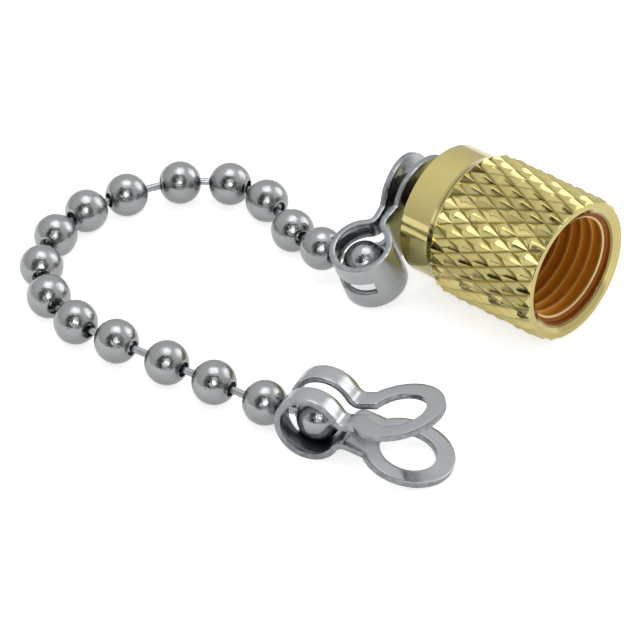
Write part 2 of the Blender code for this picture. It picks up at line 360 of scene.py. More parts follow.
@dataclass(frozen=True)
class TurnedGoldFinish(MetalFinish):
    """Gold over turned brass: as the base finish, with lathe rings round the cap's axis.

    Attributes:
        ring_mm: Feed of the turning tool, drawn coarser than the real 0.05 mm so it shows.
        front: Middle of the cap's mouth in the frame, in metres.
        zones: Looks painted on the cap: the bore orange as a painted reflection of gold in gold,
        painted darker near the mouth; the thread's crests painted lighter as highlights; the stem
        dark grey as painted shade between the clasp's rings; and the rivet head steel grey.
        valley_shade_colour: sRGB hex of the painted shade in the knurl's valleys.
        valley_shade: Share of that painted shade at their bottoms.
        valley_mm: Radius of the valleys' bottoms, and radius above which no shade is painted.
        knurl_mm: Where the knurl starts and ends, measured back from the mouth.
    """

    ring_mm: float = 0.11
    front: tuple[float, float, float] = (0.0, 0.0, 0.0)
    zones: tuple[Zone, ...] = (
        # Painted reflection: the bore painted orange for gold seen in gold, and painted darker
        # near the mouth.
        Zone(3.26, 0.12, 7.6, "CF861A", 0.38, 0.5),
        Zone(3.26, 0.08, 0.75, "8C4C06", 0.50, 0.6),
        # Painted highlights: the thread's crests painted lighter, most of all near the mouth.
        Zone(2.91, 0.20, 7.6, "D8A44C", 0.30, 0.6),
        Zone(2.97, 0.20, 0.85, "DDBE80", 0.30, 0.7),
        # Painted shade: the stem is painted dark grey where it lies in shade between the clasp's
        # rings; the rivet head behind it is steel grey.
        Zone(1.75, 9.03, 13.0, "4C4A47", 0.4, 1.0),
        Zone(1.75, 11.90, 13.0, "8C8880", 0.34, 1.0),
    )
    # Colour of the painted shade at the bottoms of the knurl's valleys.
    valley_shade_colour: str = "6E5F30"
    valley_shade: float = 0.7
    valley_mm: tuple[float, float] = (3.84, 3.92)
    knurl_mm: tuple[float, float] = (0.0, 6.9)

    def build(self) -> bpy.types.Material:
        """Make the base finish, then paint shade into the knurl's valleys and colour the zones.

        Returns:
            The material, read from Object coordinates.
        """
        material = super().build()
        tree = material.node_tree
        shader = tree.nodes["Principled BSDF"]
        place = add_node(tree, "ShaderNodeTexCoord").outputs["Object"]
        along, out = self._polar(tree, place)
        # Painted shade: the knurl's valleys are painted darker towards their bottoms, where the
        # teeth shade each other.
        valley_shade = add_node(
            tree,
            "ShaderNodeMapRange",
            inputs={
                "Value": out,
                "From Min": self.valley_mm[0] * MM,
                "From Max": self.valley_mm[1] * MM,
                "To Min": self.valley_shade,
                "To Max": 0.0,
            },
        )
        valley_shade_mask = add_node(
            tree,
            "ShaderNodeMath",
            {"operation": "MULTIPLY"},
            {0: self._band(tree, along, *self.knurl_mm), 1: valley_shade.outputs["Result"]},
        )
        clean = shader.inputs["Base Color"].links[0].from_socket
        valley_shaded = add_node(
            tree,
            "ShaderNodeMix",
            {"data_type": "RGBA"},
            {0: valley_shade_mask.outputs[0], 6: clean, 7: linear(self.valley_shade_colour)},
        )
        tree.links.new(valley_shaded.outputs[2], shader.inputs["Base Color"])
        for zone in self.zones:
            within = add_node(
                tree,
                "ShaderNodeMath",
                {"operation": "LESS_THAN"},
                {0: out, 1: zone.radius_mm * MM},
            )
            level = self._band(tree, along, zone.near_mm, zone.far_mm)
            inside = add_node(
                tree,
                "ShaderNodeMath",
                {"operation": "MULTIPLY"},
                {0: within.outputs[0], 1: level},
            ).outputs[0]
            # The sockets of a Mix node: first value, second value, result.
            for name, value, kind, slots in (
                ("Base Color", linear(zone.colour), "RGBA", (6, 7, 2)),
                ("Roughness", zone.roughness, "FLOAT", (2, 3, 0)),
                ("Metallic", zone.metallic, "FLOAT", (2, 3, 0)),
            ):
                socket = shader.inputs[name]
                outside = socket.links[0].from_socket if socket.is_linked else 1.0
                mix = add_node(
                    tree,
                    "ShaderNodeMix",
                    {"data_type": kind},
                    {0: inside, slots[0]: outside, slots[1]: value},
                )
                tree.links.new(mix.outputs[slots[2]], socket)
        return material

    def _band(
        self,
        tree: bpy.types.NodeTree,
        along: bpy.types.NodeSocket,
        near_mm: float,
        far_mm: float,
    ) -> bpy.types.NodeSocket:
        """Mask of a stretch of the cap.

        Args:
            tree: Node tree of the material.
            along: Distance in front of the mouth.
            near_mm: Where the stretch starts, measured back from the mouth.
            far_mm: Where it ends.

        Returns:
            1 in the stretch, 0 elsewhere.
        """
        middle, half = (near_mm + far_mm) / 2, (far_mm - near_mm) / 2
        level = add_node(
            tree,
            "ShaderNodeMath",
            {"operation": "COMPARE"},
            {0: along, 1: -middle * MM, 2: half * MM},
        )
        return level.outputs[0]

    def _polar(
        self, tree: bpy.types.NodeTree, place: bpy.types.NodeSocket
    ) -> tuple[bpy.types.NodeSocket, bpy.types.NodeSocket]:
        """Where a point is on the turned cap.

        Args:
            tree: Node tree of the material.
            place: Object coordinates.

        Returns:
            Distance in front of the mouth, and distance from the cap's axis.
        """
        centred = add_node(
            tree,
            "ShaderNodeMapping",
            inputs={"Vector": place, "Location": tuple(-value for value in self.front)},
        )
        parts = add_node(
            tree, "ShaderNodeSeparateXYZ", inputs={0: centred.outputs["Vector"]}
        )
        flat = add_node(
            tree,
            "ShaderNodeCombineXYZ",
            inputs={"Y": parts.outputs["Y"], "Z": parts.outputs["Z"]},
        )
        out = add_node(
            tree,
            "ShaderNodeVectorMath",
            {"operation": "LENGTH"},
            {0: flat.outputs["Vector"]},
        )
        return parts.outputs["X"], out.outputs["Value"]

    def marks(
        self, tree: bpy.types.NodeTree, place: bpy.types.NodeSocket
    ) -> bpy.types.NodeSocket:
        """Height of the lathe rings, from the distance along and from the cap's axis.

        Args:
            tree: Node tree of the material.
            place: Object coordinates.

        Returns:
            The height, about 0 to 1.
        """
        along, out = self._polar(tree, place)
        rings = add_node(tree, "ShaderNodeCombineXYZ", inputs={"X": along, "Y": out})
        feed = add_node(
            tree,
            "ShaderNodeTexNoise",
            inputs={
                "Vector": rings.outputs["Vector"],
                "Scale": 1.0 / (self.ring_mm * MM),
                "Detail": 1.0,
            },
        )
        return feed.outputs["Fac"]


@dataclass
class NodeTool:
    """A Geometry Nodes tree with named inputs, built once and run for each piece.

    Attributes:
        title: Name of the tree.
        ports: Kind of each input by its name. One is called Finish.
        weld: Distance up to which points are made one, in millimetres.
        tree: The tree.
        sockets: Identifier of each input by its name.
    """

    title: ClassVar[str] = "tool"
    ports: ClassVar[dict[str, str]] = {"Finish": "Material"}
    weld: ClassVar[float] = SEAM_WELD
    tree: bpy.types.NodeTree = field(init=False)
    sockets: dict[str, str] = field(init=False, default_factory=dict)

    def __post_init__(self) -> None:
        """Build the tree: its ports, the tool's own nodes, and the weld and finish."""
        self.tree = bpy.data.node_groups.new(self.title, "GeometryNodeTree")
        panel = self.tree.interface
        for name, kind in self.ports.items():
            socket = panel.new_socket(name, in_out="INPUT", socket_type=f"NodeSocket{kind}")
            self.sockets[name] = socket.identifier
        panel.new_socket("Geometry", in_out="OUTPUT", socket_type="NodeSocketGeometry")
        given = add_node(self.tree, "NodeGroupInput").outputs
        result = self.wire(given)
        for kind, extra in (
            ("GeometryNodeRealizeInstances", {}),
            ("GeometryNodeMergeByDistance", {"Distance": self.weld}),
            ("GeometryNodeSetMaterial", {"Material": given["Finish"]}),
        ):
            node = add_node(self.tree, kind, inputs={"Geometry": result, **extra})
            result = node.outputs["Geometry"]
        add_node(self.tree, "NodeGroupOutput", inputs={0: result})

    def wire(self, given: bpy.types.bpy_prop_collection) -> bpy.types.NodeSocket:
        """Lay the tool's own nodes and give their geometry. Each tool has its own."""
        raise NotImplementedError(self.title)

    def run(self, name: str, values: dict[str, Any]) -> bpy.types.Object:
        """Run the tree and keep its result as a plain mesh.

        Args:
            name: Name of the piece.
            values: Value of each input by its name.

        Returns:
            The piece, with no modifier.
        """
        holder = mesh_object(f"{name}_holder", bmesh.new())
        tool = holder.modifiers.new(self.title, "NODES")
        tool.node_group = self.tree
        for port, value in values.items():
            tool[self.sockets[port]] = value
        return baked(holder, name)


@dataclass
class Lathe(NodeTool):
    """Turns profiles of (x, radius) points about the X axis."""

    title: ClassVar[str] = "turned_piece"
    ports: ClassVar[dict[str, str]] = {
        "Profile": "Object",
        "Sides": "Int",
        "Lead": "Float",
        "Finish": "Material",
    }
    weld: ClassVar[float] = 0.0002

    def wire(self, given: bpy.types.bpy_prop_collection) -> bpy.types.NodeSocket:
        """Map a grid to the turned surface: columns go round, rows follow the profile.

        Args:
            given: Outputs of the tree's input node.

        Returns:
            The turned surface.
        """
        tree = self.tree
        info = add_node(tree, "GeometryNodeObjectInfo", inputs={"Object": given["Profile"]})
        profile = info.outputs["Geometry"]
        size = add_node(tree, "GeometryNodeAttributeDomainSize", inputs={"Geometry": profile})
        rows = size.outputs["Point Count"]
        index = add_node(tree, "GeometryNodeInputIndex").outputs[0]
        row = add_node(
            tree, "ShaderNodeMath", {"operation": "FLOORED_MODULO"}, {0: index, 1: rows}
        )
        here = add_node(tree, "GeometryNodeInputPosition").outputs[0]
        sample = add_node(
            tree,
            "GeometryNodeSampleIndex",
            {"data_type": "FLOAT_VECTOR", "domain": "POINT"},
            {"Geometry": profile, "Value": here, "Index": row.outputs[0]},
        )
        parts = add_node(tree, "ShaderNodeSeparateXYZ", inputs={0: sample.outputs[0]}).outputs
        known: dict[Any, Any] = {
            "index": index,
            "rows": rows,
            "sides": given["Sides"],
            "lead": given["Lead"],
            "along": parts["X"],
            "out": parts["Y"],
        }
        for name, operation, one, other in (
            ("columns", "ADD", "sides", 1.0),
            ("share", "DIVIDE", "index", "rows"),
            ("column", "FLOOR", "share", 0.0),
            ("turn", "DIVIDE", "column", "sides"),
            ("angle", "MULTIPLY", "turn", math.tau),
            ("climb", "MULTIPLY", "turn", "lead"),
            ("sine", "SINE", "angle", 0.0),
            ("cosine", "COSINE", "angle", 0.0),
            ("X", "SUBTRACT", "along", "climb"),
            ("Y", "MULTIPLY", "out", "sine"),
            ("Z", "MULTIPLY", "out", "cosine"),
        ):
            inputs = {0: known.get(one, one), 1: known.get(other, other)}
            node = add_node(tree, "ShaderNodeMath", {"operation": operation}, inputs)
            known[name] = node.outputs[0]
        grid = add_node(
            tree,
            "GeometryNodeMeshGrid",
            inputs={"Vertices X": known["columns"], "Vertices Y": rows},
        )
        put = add_node(tree, "ShaderNodeCombineXYZ", inputs={axis: known[axis] for axis in "XYZ"})
        placed = add_node(
            tree,
            "GeometryNodeSetPosition",
            inputs={"Geometry": grid.outputs["Mesh"], "Position": put.outputs["Vector"]},
        )
        return placed.outputs["Geometry"]

    def turn(
        self,
        name: str,
        profile: Sequence[Point],
        sides: int,
        finish: bpy.types.Material,
        lead: float = 0.0,
    ) -> bpy.types.Object:
        """Turn one profile into a mesh in millimetres, centred on the X axis.

        Args:
            name: Name of the piece.
            profile: Points of (x, radius) in order.
            sides: Number of flats round the axis.
            finish: Material of the piece.
            lead: How far a full turn moves the profile back along X, for a thread.

        Returns:
            The turned piece.
        """
        bm = bmesh.new()
        points = [bm.verts.new((x, r, 0.0)) for x, r in profile]
        for one, other in zip(points, points[1:]):
            bm.edges.new((one, other))
        outline = mesh_object(f"{name}_profile", bm)
        values = {"Profile": outline, "Sides": sides, "Lead": lead, "Finish": finish}
        piece = self.run(name, values)
        bpy.data.objects.remove(outline, do_unlink=True)
        return piece


@dataclass
class KnurlRoller(NodeTool):
    """Sets pyramid teeth side by side round the X axis, as a knurling tool leaves them."""

    title: ClassVar[str] = "diamond_knurl"
    ports: ClassVar[dict[str, str]] = {
        "Tooth": "Object",
        "Starts": "Int",
        "Rows": "Int",
        "Row Step": "Float",
        "First Row": "Float",
        "Finish": "Material",
    }

    def wire(self, given: bpy.types.bpy_prop_collection) -> bpy.types.NodeSocket:
        """Place a tooth at each point, every second row half a tooth round.

        Args:
            given: Outputs of the tree's input node.

        Returns:
            The teeth, as instances.
        """
        tree = self.tree
        known: dict[Any, Any] = {
            "index": add_node(tree, "GeometryNodeInputIndex").outputs[0],
            **{port: given[port] for port in ("Starts", "Rows", "Row Step", "First Row")},
        }
        for name, operation, one, other in (
            ("total", "MULTIPLY", "Starts", "Rows"),
            ("share", "DIVIDE", "index", "Starts"),
            ("row", "FLOOR", "share", 0.0),
            ("back", "MULTIPLY", "row", "Row Step"),
            ("x", "SUBTRACT", "First Row", "back"),
            ("half", "MULTIPLY", "row", 0.5),
            ("step", "ADD", "index", "half"),
            ("turn", "DIVIDE", "step", "Starts"),
            ("angle", "MULTIPLY", "turn", math.tau),
        ):
            inputs = {0: known.get(one, one), 1: known.get(other, other)}
            node = add_node(tree, "ShaderNodeMath", {"operation": operation}, inputs)
            known[name] = node.outputs[0]
        place = add_node(tree, "ShaderNodeCombineXYZ", inputs={"X": known["x"]})
        points = add_node(
            tree,
            "GeometryNodePoints",
            inputs={"Count": known["total"], "Position": place.outputs["Vector"]},
        )
        swing = add_node(tree, "ShaderNodeCombineXYZ", inputs={"X": known["angle"]})
        tooth = add_node(tree, "GeometryNodeObjectInfo", inputs={"Object": given["Tooth"]})
        teeth = add_node(
            tree,
            "GeometryNodeInstanceOnPoints",
            inputs={
                "Points": points.outputs[0],
                "Instance": tooth.outputs["Geometry"],
                "Rotation": swing.outputs["Vector"],
            },
        )
        return teeth.outputs["Instances"]


@dataclass
class KnurledCap:
    """The cap: turned from bar, knurled between a lip and a cone, bored and tapped.

    Places along the cap are measured forwards from the face of its solid.

    Attributes:
        arris: How far a tooth's worn corner is drawn round, as a share of its side.
        tip_rings: Share of the way from a tooth's tip, and depth below it, of each ring of
            its rounded tip.
        land_r: Radius from which the mouth is countersunk.
        lip: How far the lip stands in front of the solid's face.
        sink: How deep the countersink goes behind that face.
        mouth_relief: How far behind the solid's face the bore starts to narrow.
        crest_share: Width of a thread's flat crest, as a share of what its flanks leave.
        flank_ease: How much more room the flanks take than 60 degrees asks for.
        lead_in: How much more than a pitch in front of that face the tap starts, which sets
            how far round the thread is turned.
        run_out: Plain bore left behind the thread.
        over, under: How far the core reaches past the tips and below the teeth.
        envelope_over: How far the envelope stays clear of the tips.
        core_lean: How far the core's front leans back, as a share of its height.
        face_slope: Slope at which the teeth run out to the lip.
        relief_slope: Slope from the mouth to the thread's crest.
        land_edge: Depth and width of the broken edge between countersink and land.
        back_lean: How far the envelope's step behind the knurl leans.
        edge_bend, mouth_bend: Where a broken edge bends, as a share of its width.
        dome: Height above the rivet head's end, and share of its radius, of its outline.
        tap_under: How far the tap's body stays below the thread's crest.
        crease: Angle over which an edge stays sharp, in degrees.
    """

    tip_r: float = 4.15
    knurl_depth: float = 0.30
    starts: int = 28
    rows: int = 9
    row_step: float = 1.00
    first_row: float = 0.30
    arris: float = 0.03
    tip_rings: tuple[Point, ...] = ((0.34, 0.010), (0.18, 0.022), (0.07, 0.036))
    face_r: float = 3.89
    land_r: float = 3.52
    lip: float = 0.16
    sink: float = 0.05
    knurl_back: float = -6.55
    cone_r: float = 3.97
    shoulder_front: float = -7.12
    shoulder_r: float = 3.68
    back: float = -9.00
    stem_r: float = 0.90
    head_r: float = 1.62
    head_front: float = -11.957
    head_thickness: float = 0.26
    mouth_r: float = 3.19
    mouth_relief: float = 0.16
    crest_r: float = 2.87
    root_r: float = 3.17
    pitch: float = 25.4 / 36.0
    crest_share: float = 0.3
    flank_ease: float = 1.06
    lead_in: float = 0.48
    run_out: float = 0.3
    bore_depth: float = 6.60
    drill_point: float = 0.70
    edge: float = 0.05
    edge_bend: float = 0.3
    mouth_bend: float = 0.4
    over: float = 0.5
    under: float = 0.6
    envelope_over: float = 0.3
    core_lean: float = 0.3
    face_slope: float = 0.85
    relief_slope: float = 0.5
    land_edge: Point = (0.02, 0.04)
    back_lean: float = 0.02
    dome: tuple[Point, ...] = ((0.12, 1.0), (0.04, 0.88), (0.0, 0.6), (0.0, 0.0))
    tap_under: float = 0.02
    sides: int = 144
    tap_sides: int = 96
    crease: float = 14.0

    def tooth(self) -> bpy.types.Object:
        """One pyramid of the knurl, with worn arrises and a rounded tip.

        Returns:
            The tooth, open below and pointing along +Z.
        """
        low = self.tip_r - self.knurl_depth
        half = math.pi / self.starts
        corners = [
            Vector((self.row_step, 0.0, low)),
            Vector((0.0, -low * math.sin(half), low * math.cos(half))),
            Vector((-self.row_step, 0.0, low)),
            Vector((0.0, low * math.sin(half), low * math.cos(half))),
        ]
        tip = Vector((0.0, 0.0, self.tip_r))
        bm = bmesh.new()
        base = [bm.verts.new(corner) for corner in corners]
        rings = []
        for out, sunk in self.tip_rings:
            ring = []
            for i, corner in enumerate(corners):
                for other in (corners[i - 1], corners[(i + 1) % 4]):
                    point = tip + (corner - tip) * out + (other - tip) * self.arris
                    ring.append(bm.verts.new(point - Vector((0.0, 0.0, sunk))))
            rings.append(ring)
        first = rings[0]
        for i in range(4):
            j = (i + 1) % 4
            bm.faces.new((base[i], base[j], first[2 * j], first[2 * i + 1]))
            bm.faces.new((base[i], first[2 * i + 1], first[2 * i]))
        for one, other in zip(rings, rings[1:]):
            for i in range(8):
                j = (i + 1) % 8
                bm.faces.new((one[i], one[j], other[j], other[i]))
        bm.faces.new(rings[-1])
        return mesh_object("knurl_tooth", bm)

    def sleeve(self, roller: KnurlRoller, finish: bpy.types.Material) -> bpy.types.Object:
        """A closed knurled sleeve that runs past both ends of the knurl.

        Args:
            roller: Sets the teeth side by side.
            finish: Material of the sleeve.

        Returns:
            The sleeve, in millimetres.
        """
        tooth = self.tooth()
        values = {
            "Tooth": tooth,
            "Starts": self.starts,
            "Rows": self.rows,
            "Row Step": self.row_step,
            "First Row": self.first_row,
            "Finish": finish,
        }
        sleeve = roller.run("knurl_sleeve", values)
        bpy.data.objects.remove(tooth, do_unlink=True)
        face_out(sleeve, SEAM_WELD, open_tube=True)
        return sleeve

    def core(self, lathe: Lathe, finish: bpy.types.Material) -> bpy.types.Object:
        """What the knurl runs out against: the front of the cone and all behind it.

        Args:
            lathe: Turns the core.
            finish: Material of the cap.

        Returns:
            The core, in millimetres.
        """
        clear, deep = self.tip_r + self.over, self.tip_r - self.under
        cone, lean = self.knurl_back, self.core_lean
        start, end = self.over, self.head_front - 2.0 * self.over
        profile = [
            (start, 0.0),
            (start, deep),
            (cone + lean * (self.cone_r - deep), deep),
            (cone - lean * (clear - self.cone_r), clear),
            (end, clear),
            (end, 0.0),
        ]
        turned = lathe.turn("cap_core", profile, self.sides, finish)
        face_out(turned)
        return turned

    def envelope(self, lathe: Lathe, finish: bpy.types.Material) -> bpy.types.Object:
        """What the turning tool and the drill leave: lip, cone, shoulder, head and bore.

        Args:
            lathe: Turns the envelope.
            finish: Material of the cap.

        Returns:
            The envelope, in millimetres.
        """
        clear = self.tip_r + self.envelope_over
        head_back = self.head_front - self.head_thickness
        e, lip, mouth = self.edge, self.lip, self.mouth_r
        bend = e * self.edge_bend
        profile = [
            (-self.bore_depth - self.drill_point, 0.0),
            (-self.bore_depth, self.crest_r),
            (-self.mouth_relief - (mouth - self.crest_r) * self.relief_slope, self.crest_r),
            (-self.mouth_relief, mouth),
            (-self.sink - e, mouth),
            (-self.sink - e * self.mouth_bend, mouth + bend),
            (-self.sink, mouth + e),
            (lip - self.land_edge[0], self.land_r),
            (lip, self.land_r + self.land_edge[1]),
            (lip, self.face_r - e),
            (lip - bend, self.face_r - bend),
            (lip - e, self.face_r),
            (lip - e - (clear - self.face_r) * self.face_slope, clear),
            (self.knurl_back + self.back_lean, clear),
            (self.knurl_back, self.cone_r),
            (self.shoulder_front, self.shoulder_r),
            (self.back + e, self.shoulder_r),
            (self.back + bend, self.shoulder_r - bend),
            (self.back, self.shoulder_r - e),
            (self.back, self.stem_r + e),
            (self.back - e, self.stem_r),
            (self.head_front, self.stem_r),
            (self.head_front, self.head_r - e),
            (self.head_front - e, self.head_r),
            *((head_back + rise, self.head_r * share) for rise, share in self.dome),
        ]
        turned = lathe.turn("cap_envelope", profile, self.sides, finish)
        face_out(turned)
        return turned

    def tap(self, lathe: Lathe, finish: bpy.types.Material) -> bpy.types.Object:
        """A tap with truncated 60 degree threads, run in until just short of the bore's end.

        Args:
            lathe: Turns the tap.
            finish: Material of the cap.

        Returns:
            The tap, in millimetres.
        """
        flank = (self.root_r - self.crest_r) * math.tan(math.radians(30.0))
        crest = (self.pitch - 2.0 * flank) * self.crest_share
        below = self.crest_r - self.tap_under
        one_turn = [
            (0.0, below),
            (-crest, below),
            (-crest - flank * self.flank_ease, self.root_r),
            (-self.pitch + flank * self.flank_ease, self.root_r),
        ]
        start = self.pitch + self.lead_in
        turns = int((start + self.bore_depth - self.run_out) / self.pitch)
        profile = [(start - k * self.pitch + x, r) for k in range(turns) for x, r in one_turn]
        profile.append((start - turns * self.pitch, below))
        tap = lathe.turn("cap_tap", profile, self.tap_sides, finish, lead=self.pitch)
        face_out(tap, open_tube=True)
        return tap

    def build(
        self, lathe: Lathe, roller: KnurlRoller, finish: bpy.types.Material, front: Vector
    ) -> bpy.types.Object:
        """Cut the knurled blank to the envelope, tap it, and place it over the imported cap.

        Args:
            lathe: Turns the core, the envelope and the tap.
            roller: Knurls the blank.
            finish: Material of the cap.
            front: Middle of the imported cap's mouth, in metres.

        Returns:
            The dressed cap.
        """
        blank = self.sleeve(roller, finish)
        cutters = {
            "UNION": self.core(lathe, finish),
            "INTERSECT": self.envelope(lathe, finish),
            "DIFFERENCE": self.tap(lathe, finish),
        }
        for operation, cutter in cutters.items():
            cut = blank.modifiers.new(operation.lower(), "BOOLEAN")
            cut.operation = operation
            cut.object = cutter
            cut.solver = "EXACT"
        cap = baked(blank, "knurled_cap")
        for cutter in cutters.values():
            bpy.data.objects.remove(cutter, do_unlink=True)
        cap.data.transform(Matrix.Translation(front) @ Matrix.Scale(MM, 4))
        cap.data.materials.clear()
        cap.data.materials.append(finish)
        face_out(cap)
        smooth(cap, self.crease)
        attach(cap, "cap")
        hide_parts("cap_body")
        return cap


@dataclass
class BeadChain:
    """Hollow rolled beads and the dumb-bell pins between them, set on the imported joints.

    Attributes:
        joints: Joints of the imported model.
        lip_r: Width of the rolled lip round a bead's hole.
        lip_turn, lip_bulge: How far in it is rolled and how far out it stands, as shares of
            its width.
        lip_ease: Width and depth of the lip's own broken edge.
        inside_play: How much wider the hole is at the bead's inside.
        head_back: How far a pin's domed head runs past its middle.
        head_flat: Width of the head's flat end, as a share.
        head_edge: How deep the flat's edge is.
        neck: How far the head runs out along the pin.
        between_heads: Distance between the middles of a pin's heads.
        outer_steps, inner_steps, dome_steps: Facets along a bead's outside and inside, and
            along a pin's head.
        roll_step: Angle by which each bead is rolled on from the last, in degrees.
        crease: Angle over which an edge stays sharp, in degrees.
    """

    joints: list[dict[str, Any]]
    bead_r: float = 1.20
    wall: float = 0.20
    hole_r: float = 0.41
    lip_r: float = 0.06
    lip_turn: float = 0.6
    lip_bulge: float = 0.35
    lip_ease: Point = (0.01, 0.02)
    inside_play: float = 0.03
    pin_r: float = 0.205
    head_r: float = 0.44
    head_back: float = 0.10
    head_flat: float = 0.8
    head_edge: float = 0.03
    neck: float = 0.02
    between_heads: float = 2.05
    links: int = 16
    bead_sides: int = 44
    pin_sides: int = 20
    outer_steps: int = 22
    inner_steps: int = 8
    dome_steps: int = 5
    roll_step: float = 137.5
    crease: float = 45.0

    def joint(self, name: str) -> Vector:
        """Where a named joint is, in metres."""
        return next(Vector(found["pos_m"]) for found in self.joints if found["name"] == name)

    def arc(self, radius: float, hole: float, steps: int) -> list[Point]:
        """Outline of a ball with a hole at each end.

        Args:
            radius: Radius of the ball.
            hole: Half the angle that a hole takes, in radians.
            steps: Number of facets.

        Returns:
            Points of (x, radius) from +X to -X.
        """
        angles = [hole + (math.pi - 2 * hole) * k / steps for k in range(steps + 1)]
        return [(radius * math.cos(angle), radius * math.sin(angle)) for angle in angles]

    def bead_profile(self) -> list[Point]:
        """Outside, rolled lips and inside of a bead.

        Returns:
            One closed outline of (x, radius) points.
        """
        inner = self.bead_r - self.wall
        reach = math.asin((self.hole_r + self.lip_r) / self.bead_r)
        outside = self.arc(self.bead_r, reach, self.outer_steps)
        lip_x = self.bead_r * math.cos(reach) - self.lip_r * self.lip_turn
        lip = [
            (-lip_x - self.lip_r * self.lip_bulge, self.hole_r + self.lip_ease[0]),
            (-lip_x + self.lip_ease[1], self.hole_r),
        ]
        back = math.asin((self.hole_r + self.inside_play) / inner)
        inside = [(-x, r) for x, r in self.arc(inner, back, self.inner_steps)]
        far_lip = [(-x, r) for x, r in reversed(lip)]
        return outside + lip + inside + far_lip + outside[:1]

    def pin_profile(self) -> list[Point]:
        """A pin with a domed head at each end.

        Returns:
            Points of (x, radius) from one end to the other.
        """
        half = self.between_heads / 2
        end = half + self.head_back
        meet = math.sqrt(self.head_r**2 - self.pin_r**2)
        full = math.sqrt(self.head_r**2 - self.head_back**2)
        dome = [(end, 0.0), (end, full * self.head_flat), (end - self.head_edge, full)]
        sweep = math.pi / 2 - math.asin(self.pin_r / self.head_r)
        for k in range(1, self.dome_steps + 1):
            a = math.pi / 2 + sweep * k / self.dome_steps
            dome.append((half + self.head_r * math.cos(a), self.head_r * math.sin(a)))
        dome.append((half - meet - self.neck, self.pin_r))
        return dome + [(-x, r) for x, r in reversed(dome)]

    def place(
        self, piece: bpy.types.Object, centre: Vector, along: Vector, roll: float
    ) -> None:
        """Move a turned piece's mesh to where it belongs.

        Args:
            piece: Piece in millimetres, at the origin and along X.
            centre: Its middle, in metres.
            along: Direction of its axis.
            roll: Turn about its axis, in degrees.
        """
        aim = along.to_track_quat("X", "Z").to_matrix().to_4x4()
        turn = Matrix.Rotation(math.radians(roll), 4, "X")
        piece.data.transform(
            Matrix.Translation(centre) @ aim @ turn @ Matrix.Scale(MM, 4)
        )

    def build(
        self, lathe: Lathe, bead_finish: bpy.types.Material, pin_finish: bpy.types.Material
    ) -> list[bpy.types.Object]:
        """Turn and place every bead and pin, and tie each to its node's body.

        Args:
            lathe: Turns the beads and pins.
            bead_finish: Material of the beads.
            pin_finish: Material of the pins.

        Returns:
            The dressed beads and pins.
        """
        made = []
        for number in range(1, self.links + 2):
            name = f"bead_{number:02d}"
            low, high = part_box(name)
            centre = (Vector(low) + Vector(high)) / 2
            enters = self.joint(f"{name}_turn") if number > 1 else centre
            leaves = self.joint(f"pin_{number:02d}_lift") if number <= self.links else centre
            if 1 < number <= self.links:
                centre = (enters + leaves) / 2
            bead = lathe.turn(
                f"rolled_{name}", self.bead_profile(), self.bead_sides, bead_finish
            )
            self.place(bead, centre, leaves - enters, number * self.roll_step)
            made.append(self._declare(bead, name))
        for number in range(1, self.links + 1):
            name = f"pin_{number:02d}"
            start = self.joint(f"{name}_lift")
            end = self.joint(f"bead_{number + 1:02d}_turn")
            pin = lathe.turn(f"headed_{name}", self.pin_profile(), self.pin_sides, pin_finish)
            self.place(pin, (start + end) / 2, end - start, 0.0)
            made.append(self._declare(pin, name))
        return made

    def _declare(self, piece: bpy.types.Object, node: str) -> bpy.types.Object:
        """Clean a piece's mesh and tie it to its node and body.

        Args:
            piece: Bead or pin, in place.
            node: Name of its node and body.

        Returns:
            The piece.
        """
        face_out(piece)
        smooth(piece, self.crease)
        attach(piece, node)
        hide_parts(node)
        return piece


class Leaf(Enum):
    """The two halves of a folded clasp."""

    SLOTTED = 1
    PLAIN = -1


